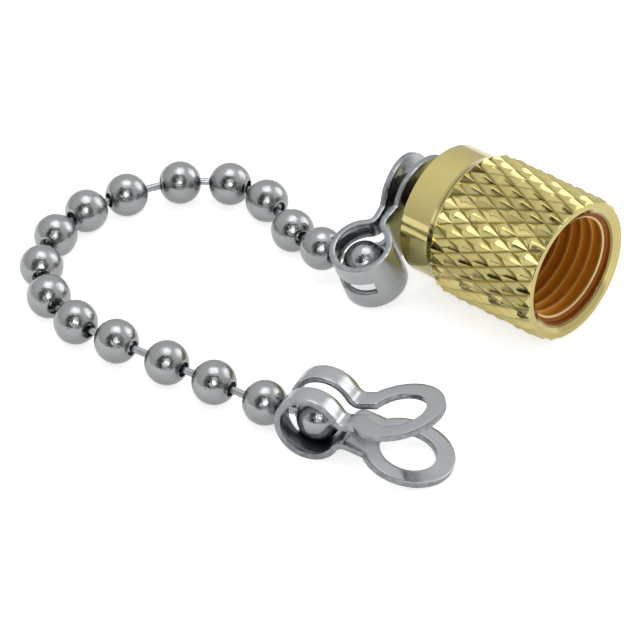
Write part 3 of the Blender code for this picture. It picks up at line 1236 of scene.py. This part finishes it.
@dataclass
class StripClasp:
    """A clasp bent from one stamped blank: two rings, a barrel and a slot for the pin.

    Attributes:
        node: Node that the clasp takes the place of.
        body: Body that it rides.
        barrel_r: Radius of the strip's middle in the barrel.
        open_by: How far each leaf is sprung open, in degrees.
        strip: Gauge of the strip.
        reach: Distance from the barrel's middle to the rings'.
        slotted_short: How much shorter the slotted leaf is.
        closed_barrel_r: Radius that the blank was cut for.
        neck_angle: Angle that the closed barrel leaves open, half of it, in degrees.
        splay: How far the leaves lean apart, in degrees.
        slot_past_back: How far the slot runs past the barrel's back, in degrees.
        neck_short: How far before the ring's corner the neck's straight rows end.
        edge: Width of the rounding on the sheared edges.
        barrel_steps, bend_steps, neck_steps, ring_steps, slot_steps: Facets along each part.
        side_steps: Facets across the strip beside the slot.
        ease_steps: Facets over which the ring's rows even out.
        rounded_over, crease: Angles over which an edge is rounded and stays sharp, in degrees.
    """

    node: str
    body: str
    barrel_r: float
    open_by: float
    strip: float = 0.35
    width: float = 3.26
    ring_r: float = 2.48
    hole_r: float = 1.50
    slot: float = 0.90
    reach: float = 4.92
    slotted_short: float = 0.32
    closed_barrel_r: float = 1.595
    neck_angle: float = 23.0
    neck_bend_r: float = 0.60
    neck_short: float = 0.10
    splay: float = 5.5
    slot_past_back: float = 46.0
    edge: float = 0.045
    barrel_steps: int = 26
    bend_steps: int = 8
    neck_steps: int = 4
    ring_steps: int = 32
    slot_steps: int = 8
    side_steps: int = 3
    ease_steps: int = 6
    rounded_over: float = 50.0
    crease: float = 40.0

    def path(self, open_by: float, barrel_r: float) -> list[Point]:
        """How the strip is bent, from the barrel's back.

        Args:
            open_by: How far the leaf is sprung open, in degrees.
            barrel_r: Radius of the strip's middle in the barrel.

        Returns:
            Length and turn of the barrel and of the neck's bend.
        """
        wrap = math.radians(180.0 - self.neck_angle - open_by)
        neck = math.radians(90.0 - self.neck_angle + self.splay)
        return [(barrel_r * wrap, -wrap), (self.neck_bend_r * neck, neck)]

    def along(
        self, path: list[Point], barrel_r: float, s: float
    ) -> tuple[float, float, float]:
        """Where the bent strip's middle runs.

        Args:
            path: Length and turn of each bend.
            barrel_r: Radius of the strip's middle in the barrel.
            s: Distance from the barrel's back, along the strip.

        Returns:
            The point's x and y, and the strip's heading in radians.
        """
        x, y, heading = -barrel_r, 0.0, math.pi / 2
        for length, turn in path + [(math.inf, 0.0)]:
            part = min(s, length)
            if turn:
                r = length / turn
                done = part / r
                x += r * (math.sin(heading + done) - math.sin(heading))
                y += r * (math.cos(heading) - math.cos(heading + done))
                heading += done
            else:
                x += part * math.cos(heading)
                y += part * math.sin(heading)
            s -= part
            if s <= 0.0:
                break
        return x, y, heading

    def ring_station(self) -> float:
        """Length of strip from the barrel's back to the middle of the plain ring.

        Returns:
            The length, which springing the clasp open doesn't change.
        """
        path = self.path(0.0, self.closed_barrel_r)
        length = sum(part for part, _ in path)
        x, _, heading = self.along(path, self.closed_barrel_r, length)
        return length + (self.reach - x) / math.cos(heading)

    def rows(self, leaf: Leaf, start: float, centre: float) -> list[list[Point]]:
        """Rows of flat (distance, offset) points on one half of a leaf's width.

        Args:
            leaf: Which leaf the rows belong to.
            start: Distance from the barrel's back at which they start.
            centre: Distance of the ring's middle.

        Returns:
            Rows from the barrel to the ring's tip, each from the middle outwards.
        """
        half, gap = self.width / 2, self.slot / 2
        first = [0.0, gap * 0.5, gap] if leaf is Leaf.PLAIN else [gap]
        sides = self.side_steps
        offsets = first + [gap + (half - gap) * k / sides for k in range(1, sides + 1)]
        barrel, bend = [length for length, _ in self.path(self.open_by, self.barrel_r)]
        neck_end = centre - math.sqrt(self.ring_r**2 - half**2) - self.neck_short
        stations = [start]
        for length, steps in (
            (barrel - start, self.barrel_steps),
            (bend, self.bend_steps),
            (neck_end - barrel - bend, self.neck_steps),
        ):
            begin = stations[-1]
            stations += [begin + length * k / steps for k in range(1, steps + 1)]
        rows = [[(s, t) for t in offsets] for s in stations]
        rim_from = math.asin(half / self.ring_r)
        hole_from = math.asin(gap / self.hole_r) if leaf is Leaf.SLOTTED else 0.0
        spaced = [(t - offsets[0]) / (offsets[-1] - offsets[0]) for t in offsets]
        even = [i / (len(offsets) - 1) for i in range(len(offsets))]
        for k in range(self.ring_steps + 1):
            edges = []
            for r, first_angle in ((self.hole_r, hole_from), (self.ring_r, rim_from)):
                angle = first_angle + (math.pi - first_angle) * k / self.ring_steps
                edges.append(Vector((centre - r * math.cos(angle), r * math.sin(angle))))
            fade = min(1.0, k / self.ease_steps)
            shares = [a + (b - a) * fade for a, b in zip(spaced, even)]
            rows.append([tuple(edges[0].lerp(edges[1], share)) for share in shares])
        return rows

    def skin(self, bm: bmesh.types.BMesh, leaf: Leaf, rows: list[list[Point]]) -> None:
        """Bend rows of flat points along the strip and join them.

        Args:
            bm: Mesh that gets the faces.
            leaf: Which leaf the rows belong to.
            rows: Flat points of (distance, offset).
        """
        path = self.path(self.open_by, self.barrel_r)
        made = []
        for row in rows:
            line = []
            for s, t in row:
                side = leaf.value if s >= 0.0 else -leaf.value
                x, y, _ = self.along(path, self.barrel_r, abs(s))
                line.append(bm.verts.new((x, side * y, t)))
            made.append(line)
        for one, other in zip(made, made[1:]):
            for i in range(len(one) - 1):
                bm.faces.new((one[i], one[i + 1], other[i + 1], other[i]))

    def build(
        self,
        centre: Vector,
        along: Vector,
        hint: Vector,
        finish: bpy.types.Material,
        cut: bpy.types.Material,
    ) -> bpy.types.Object:
        """Bend, thicken and round one clasp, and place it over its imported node.

        Args:
            centre: Middle of the barrel, in metres.
            along: Direction from the barrel to the rings.
            hint: Direction that the slotted leaf faces.
            finish: Material of the strip's two faces.
            cut: Material of its sheared edges.

        Returns:
            The dressed clasp.
        """
        past = -math.radians(self.slot_past_back) * self.barrel_r
        bm = bmesh.new()
        station = self.ring_station()
        self.skin(bm, Leaf.PLAIN, self.rows(Leaf.PLAIN, -past, station))
        slotted = self.rows(Leaf.SLOTTED, 0.0, station - self.slotted_short)
        slot = [
            [(past * (1.0 - k / self.slot_steps), t) for _, t in slotted[0]]
            for k in range(self.slot_steps)
        ]
        self.skin(bm, Leaf.SLOTTED, slot + slotted)
        copies = bmesh.ops.duplicate(bm, geom=bm.verts[:] + bm.edges[:] + bm.faces[:])["geom"]
        turned = [part for part in copies if isinstance(part, bmesh.types.BMFace)]
        bmesh.ops.scale(
            bm,
            vec=(1.0, 1.0, -1.0),
            verts=[part for part in copies if isinstance(part, bmesh.types.BMVert)],
        )
        bmesh.ops.reverse_faces(bm, faces=turned)
        bmesh.ops.remove_doubles(bm, verts=bm.verts, dist=SEAM_WELD)
        bmesh.ops.recalc_face_normals(bm, faces=bm.faces)
        flat = mesh_object(f"{self.node}_blank", bm)
        flat.data.materials.append(finish)
        flat.data.materials.append(cut)
        gauge = flat.modifiers.new("gauge", "SOLIDIFY")
        gauge.thickness, gauge.offset, gauge.use_even_offset = self.strip, 0.0, True
        gauge.material_offset_rim = 1
        rounding = flat.modifiers.new("sheared_edges", "BEVEL")
        rounding.width, rounding.segments = self.edge, 2
        rounding.limit_method = "ANGLE"
        rounding.angle_limit = math.radians(self.rounded_over)
        clasp = baked(flat, f"bent_{self.node}")
        x = along.normalized()
        z = x.cross(hint).normalized()
        turn = Matrix((x, z.cross(x), z)).transposed().to_4x4()
        clasp.data.transform(Matrix.Translation(centre) @ turn @ Matrix.Scale(MM, 4))
        face_out(clasp)
        smooth(clasp, self.crease)
        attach(clasp, self.body)
        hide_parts(self.node)
        return clasp


@dataclass(frozen=True)
class Patch:
    """A round patch of the tent, with a soft edge.

    Attributes:
        name: What it stands for.
        aim: Its direction, as shares of the camera's right, up and back.
        half_angle: Half its angle, in degrees.
        soft: Half the width of its edge, in degrees.
        strength: Its light, or None for the dark clutter round the lens.
        ragged: Whether its edge is uneven, as that of things seen through the port.
    """

    name: str
    aim: tuple[float, float, float]
    half_angle: float
    soft: float
    strength: float | None
    ragged: bool


@dataclass
class Studio:
    """A white table in a grey light tent with two soft boxes, and the camera.

    Attributes:
        elevation, azimuth: Where the camera stands, in degrees.
        look_at_mm: What it looks at, from the point under the cap's mouth.
        tent, tent_top: Light of the tent at the horizon and overhead.
        patches: What stands out in the tent, each over the ones before it.
        ragged_by, ragged_scale: How far uneven edges stray, and how fine they are.
        clutter_scale: How fine the clutter round the lens is.
        clutter_span, clutter_light: Values of its noise and the light that they give.
        card: sRGB hex of the table.
        card_glow, card_in_metal: Light that it gives the camera and the metal besides.
        table_mm, table_gap_mm: Its width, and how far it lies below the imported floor.
    """

    elevation: float = 35.0
    azimuth: float = 41.8
    distance_mm: float = 218.0
    lens_mm: float = 228.2
    sensor_mm: float = 36.0
    look_at_mm: tuple[float, float] = (-10.891, -7.953)
    tent: float = 0.68
    tent_top: float = 1.1
    patches: tuple[Patch, ...] = (
        Patch("overhead_soft_box", (0.0, 0.888, 0.459), 18.5, 4.0, 2.9, False),
        Patch("side_soft_box", (0.79, 0.61, -0.02), 17.0, 8.0, 2.7, False),
        Patch("lens_port", (-0.12, -0.08, 1.0), 46.0, 4.0, None, True),
        Patch("grey_card", (-0.04, -0.45, 1.0), 14.0, 6.0, 0.75, True),
        Patch("window", (-0.04, 0.04, 1.0), 9.0, 5.0, 6.0, True),
    )
    ragged_by: float = 0.3
    ragged_scale: float = 5.0
    clutter_scale: float = 7.0
    clutter_span: Point = (0.47, 0.64)
    clutter_light: Point = (0.01, 0.6)
    card: str = "DDDDDD"
    card_glow: float = 0.62
    card_in_metal: float = 0.42
    table_mm: float = 3000.0
    table_gap_mm: float = 0.02

    def back(self) -> Vector:
        """Direction from what the camera looks at to the camera."""
        a, e = math.radians(self.azimuth), math.radians(self.elevation)
        return Vector((math.sin(a) * math.cos(e), -math.cos(a) * math.cos(e), math.sin(e)))

    def build(self, cap_front: Vector) -> None:
        """Make the table, the light and the camera.

        Args:
            cap_front: Middle of the cap's front face, in metres.
        """
        self._table()
        self._tent()
        data = bpy.data.cameras.new("camera")
        data.lens, data.sensor_width = self.lens_mm, self.sensor_mm
        data.clip_start, data.clip_end = 0.01, 10.0
        camera = bpy.data.objects.new("camera", data)
        bpy.context.collection.objects.link(camera)
        target = Vector((cap_front.x, cap_front.y, 0.0))
        target += Vector((*self.look_at_mm, 0.0)) * MM
        camera.location = target + self.back() * self.distance_mm * MM
        camera.rotation_mode = "QUATERNION"
        camera.rotation_quaternion = (-self.back()).to_track_quat("-Z", "Y")
        bpy.context.scene.camera = camera
        bpy.context.scene.view_settings.view_transform = "Standard"

    def _table(self) -> None:
        """A wide matt white table that stays white to the camera and in reflections."""
        bm = bmesh.new()
        bmesh.ops.create_grid(bm, x_segments=1, y_segments=1, size=self.table_mm * MM / 2)
        table = mesh_object("table", bm)
        table.location.z = -self.table_gap_mm * MM
        material = bpy.data.materials.new("matt_white_card")
        material.use_nodes = True
        tree = material.node_tree
        tree.nodes.clear()
        card = add_node(
            tree, "ShaderNodeBsdfDiffuse", inputs={"Color": linear(self.card), "Roughness": 0.9}
        )
        rays = add_node(tree, "ShaderNodeLightPath").outputs
        in_metal = add_node(
            tree,
            "ShaderNodeMath",
            {"operation": "MAXIMUM"},
            {0: rays["Is Glossy Ray"], 1: rays["Is Transmission Ray"]},
        )
        lift = add_node(
            tree,
            "ShaderNodeMath",
            {"operation": "MULTIPLY"},
            {0: rays["Is Camera Ray"], 1: self.card_glow},
        )
        lift = add_node(
            tree,
            "ShaderNodeMath",
            {"operation": "MULTIPLY_ADD"},
            {0: in_metal.outputs[0], 1: self.card_in_metal, 2: lift.outputs[0]},
        )
        glow = add_node(
            tree, "ShaderNodeEmission", inputs={"Color": WHITE, "Strength": lift.outputs[0]}
        )
        both = add_node(
            tree, "ShaderNodeAddShader", inputs={0: card.outputs[0], 1: glow.outputs[0]}
        )
        add_node(tree, "ShaderNodeOutputMaterial", inputs={"Surface": both.outputs[0]})
        table.data.materials.append(material)

    def _tent(self) -> None:
        """Tent lighter overhead, two soft boxes, and the dark cluttered port with the lens."""
        world = bpy.data.worlds.new("light_tent")
        bpy.context.scene.world = world
        world.use_nodes = True
        tree = world.node_tree
        tree.nodes.clear()
        sky = add_node(tree, "ShaderNodeTexCoord").outputs["Generated"]
        a = math.radians(self.azimuth)
        right = Vector((math.cos(a), math.sin(a), 0.0))
        back = self.back()
        up = back.cross(right)
        height = add_node(tree, "ShaderNodeSeparateXYZ", inputs={0: sky}).outputs["Z"]
        cloth = add_node(
            tree,
            "ShaderNodeMapRange",
            inputs={"Value": height, "To Min": self.tent, "To Max": self.tent_top},
        )
        shapes = add_node(
            tree, "ShaderNodeTexNoise", inputs={"Vector": sky, "Scale": self.ragged_scale}
        )
        push = add_node(
            tree,
            "ShaderNodeVectorMath",
            {"operation": "MULTIPLY_ADD"},
            {0: shapes.outputs["Color"], 1: (self.ragged_by,) * 3, 2: sky},
        )
        ragged = add_node(
            tree,
            "ShaderNodeVectorMath",
            {"operation": "SUBTRACT"},
            {0: push.outputs["Vector"], 1: (self.ragged_by / 2,) * 3},
        ).outputs["Vector"]
        clutter = add_node(
            tree,
            "ShaderNodeTexNoise",
            inputs={
                "Vector": sky,
                "Scale": self.clutter_scale,
                "Detail": 3.0,
                "Roughness": 0.6,
            },
        )
        dark = add_node(
            tree,
            "ShaderNodeMapRange",
            inputs={
                "Value": clutter.outputs["Fac"],
                "From Min": self.clutter_span[0],
                "From Max": self.clutter_span[1],
                "To Min": self.clutter_light[0],
                "To Max": self.clutter_light[1],
            },
        ).outputs["Result"]
        level = cloth.outputs["Result"]
        for patch in self.patches:
            aim = right * patch.aim[0] + up * patch.aim[1] + back * patch.aim[2]
            near = add_node(
                tree,
                "ShaderNodeVectorMath",
                {"operation": "DOT_PRODUCT"},
                {0: ragged if patch.ragged else sky, 1: aim.normalized()},
            )
            mask = add_node(
                tree,
                "ShaderNodeMapRange",
                {"interpolation_type": "SMOOTHSTEP"},
                {
                    "Value": near.outputs["Value"],
                    "From Min": math.cos(math.radians(patch.half_angle + patch.soft)),
                    "From Max": math.cos(math.radians(patch.half_angle - patch.soft)),
                },
            )
            light = dark if patch.strength is None else patch.strength
            mix = add_node(
                tree,
                "ShaderNodeMix",
                {"data_type": "FLOAT", "label": patch.name},
                {0: mask.outputs["Result"], 2: level, 3: light},
            )
            level = mix.outputs[0]
        lit, plain = (
            add_node(tree, "ShaderNodeBackground", inputs={"Color": WHITE, "Strength": strength})
            for strength in (level, 1.0)
        )
        rays = add_node(tree, "ShaderNodeLightPath").outputs
        pick = add_node(
            tree,
            "ShaderNodeMixShader",
            inputs={0: rays["Is Camera Ray"], 1: lit.outputs[0], 2: plain.outputs[0]},
        )
        add_node(tree, "ShaderNodeOutputWorld", inputs={"Surface": pick.outputs[0]})


def main() -> None:
    """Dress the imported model: cap, chain, clasps, table, light and camera."""
    logging.basicConfig(level=logging.INFO, format="%(name)s: %(message)s")
    for leftover in list(bpy.data.objects):
        bpy.data.objects.remove(leftover, do_unlink=True)
    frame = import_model()
    low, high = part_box("cap_body")
    front = Vector((high[0], (low[1] + high[1]) / 2, (low[2] + high[2]) / 2))

    # Gold plate on fine-turned brass: a soft warm mirror, with faint rings from the tool that
    # blur highlights along the cap, and slow clouds in the plating.
    gold = TurnedGoldFinish(
        name="gold_plated_turned_brass",
        bright="CDC182",
        dull="BFB272",
        roughness=0.13,
        wear=Wear.PLATED,
        patch_mm=2.5,
        mark_mm=0.2,
        mark_height=2.5e-6,
        front=tuple(front),
    )
    # Nickel plate on rolled steel: a darker grey mirror. Its fine orange peel is drawn at 0.13 mm,
    # coarser than real, so that it still breaks up the reflections on a 2.4 mm bead.
    nickel = MetalFinish(
        name="nickel_plated_rolled_steel",
        bright="A1A3A4",
        dull="949798",
        roughness=0.13,
        wear=Wear.PLATED,
        patch_mm=0.7,
        mark_mm=0.13,
        mark_height=16e-6,
    )
    # Stainless strip, tumbled to take the burrs off: paler and more satin than the beads, with
    # short soft scratches that run one way.
    stainless = MetalFinish(
        name="tumbled_stainless_strip",
        bright="B2B6B8",
        dull="A4A8AA",
        roughness=0.22,
        wear=Wear.TUMBLED,
        patch_mm=1.6,
        mark_mm=0.10,
        mark_height=2e-6,
    )
    # The strip's edges, sheared by the press: painted darker, so that they outline the rings.
    sheared = MetalFinish(
        name="sheared_stainless_edge",
        bright="A9ADAF",
        dull="6C7072",
        roughness=0.30,
        wear=Wear.SHEARED,
        patch_mm=0.35,
        mark_mm=0.06,
        mark_height=4e-6,
    )
    # Drawn steel wire of the pins: bright, with an even satin gloss.
    wire = MetalFinish(
        name="drawn_steel_wire",
        bright="B4B6B8",
        dull="96999B",
        roughness=0.28,
        wear=Wear.DRAWN,
        patch_mm=0.5,
        mark_mm=0.08,
        mark_height=3e-6,
    )

    lathe, roller = Lathe(), KnurlRoller()
    chain = BeadChain(joints=frame["joints"])
    pieces = [KnurledCap().build(lathe, roller, gold.build(), front)]
    pieces += chain.build(lathe, nickel.build(), wire.build())

    strip_steel, cut_steel = stainless.build(), sheared.build()
    # The first clasp's rings hang on the cap's stem, up from its barrel. The free clasp lies
    # along the floor.
    lean, rise = math.radians(-5.8), math.radians(24.2)
    toward_rings = Vector(
        (math.sin(lean), math.cos(lean) * math.cos(rise), math.cos(lean) * math.sin(rise))
    )
    hung = StripClasp("clasp_cap_end", "cap_end_clasp", barrel_r=1.595, open_by=0.0)
    heading, level = math.radians(19.0), math.radians(1.23)
    lying = Vector(
        (
            math.cos(level) * math.cos(heading),
            math.cos(level) * math.sin(heading),
            math.sin(level),
        )
    )
    # Springing the free clasp open draws its slotted leaf back and its slot round.
    sprung = StripClasp(
        "clasp_free_end",
        "free_clasp",
        barrel_r=1.6806,
        open_by=8.0,
        slotted_short=0.50,
        slot_past_back=49.0,
    )
    for clasp, held_at, along, hint in (
        (hung, "bead_in_clasp", toward_rings, Vector((-1.0, 0.0, 0.0))),
        (sprung, "free_clasp_on_bead", lying, Vector((0.0, 0.0, 1.0))),
    ):
        pieces.append(clasp.build(chain.joint(held_at), along, hint, strip_steel, cut_steel))
    for piece in pieces:
        log.info("%s: %d faces", piece.name, len(piece.data.polygons))

    Studio().build(front)


if __name__ == "__main__":
    main()
